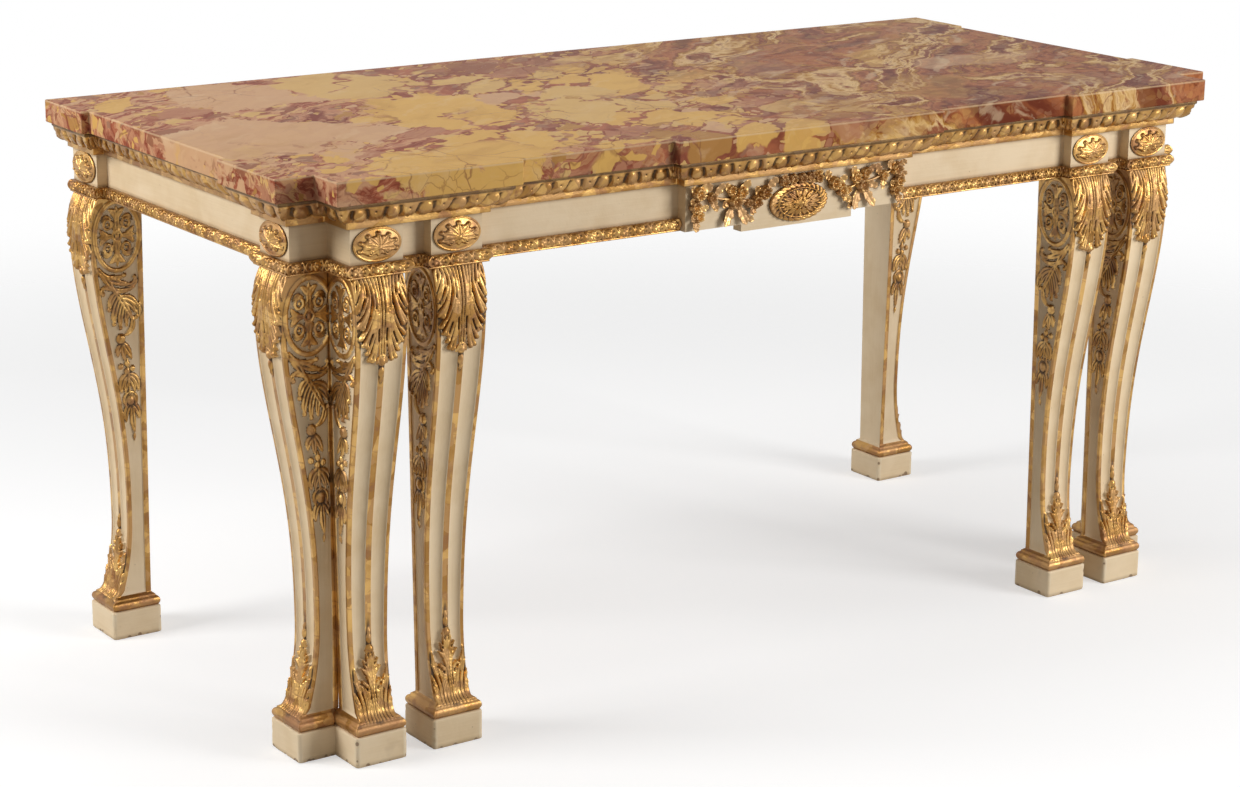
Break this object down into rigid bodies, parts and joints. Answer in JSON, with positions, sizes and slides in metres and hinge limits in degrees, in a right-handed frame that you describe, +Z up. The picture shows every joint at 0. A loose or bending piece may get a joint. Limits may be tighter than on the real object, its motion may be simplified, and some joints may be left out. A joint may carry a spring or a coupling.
{
  "type": "side table",
  "caption": "Rectangular side table with a loose breakfront marble top on a painted and gilt carved frame with scroll legs in groups at the corners.",
  "frame": {"origin": "centre of the footprint at floor level", "axes": "+X along the length to the right seen from the front, +Y to the back, +Z up"},
  "size_m": [1.824, 0.832, 0.9],
  "materials": {
    "marble": "polished breccia in ochre, cream and oxblood",
    "cream_paint": "aged cream paint on wood",
    "parcel_gilt": "cream paint with carved and gilt ornament",
    "gilding": "worn water gilding over reddish bole on carved wood",
    "bare_wood": "unpainted old softwood"
  },
  "bodies": {
    "frame": {"back_left_block": "cream_paint", "back_left_leg": "parcel_gilt", "back_left_patera": "gilding", "back_left_plinth": "cream_paint", "back_rail": "bare_wood", "back_right_block": "cream_paint", "back_right_leg": "parcel_gilt", "back_right_patera": "gilding", "back_right_plinth": "cream_paint", "front_cornice": "gilding", "front_left_bead": "gilding", "front_left_corner_block": "cream_paint", "front_left_inner_block": "cream_paint", "front_left_inner_leg": "parcel_gilt", "front_left_inner_patera": "gilding", "front_left_inner_plinth": "cream_paint", "front_left_outer_leg": "parcel_gilt", "front_left_outer_patera": "gilding", "front_left_outer_plinth": "cream_paint", "front_rail": "cream_paint", "front_right_bead": "gilding", "front_right_corner_block": "cream_paint", "front_right_inner_block": "cream_paint", "front_right_inner_leg": "parcel_gilt", "front_right_inner_patera": "gilding", "front_right_inner_plinth": "cream_paint", "front_right_outer_leg": "parcel_gilt", "front_right_outer_patera": "gilding", "front_right_outer_plinth": "cream_paint", "left_cornice": "gilding", "left_cross_brace": "bare_wood", "left_festoon": "gilding", "left_side_bead": "gilding", "left_side_rail": "cream_paint", "leg_dowels": "bare_wood", "medallion_spray": "gilding", "plinth_dowels": "bare_wood", "right_cornice": "gilding", "right_cross_brace": "bare_wood", "right_festoon": "gilding", "right_side_bead": "gilding", "right_side_rail": "cream_paint", "side_left_leg": "parcel_gilt", "side_left_patera": "gilding", "side_left_plinth": "cream_paint", "side_right_leg": "parcel_gilt", "side_right_patera": "gilding", "side_right_plinth": "cream_paint", "tablet_medallion": "gilding", "tablet_panel": "cream_paint"},
    "top": {"marble_top": "marble"}
  },
  "joints": [
    {"name": "top_lift", "type": "slide", "parent": "frame", "child": "top", "axis": [0, 0, 1], "range_m": [0, 0.15]}
  ]
}
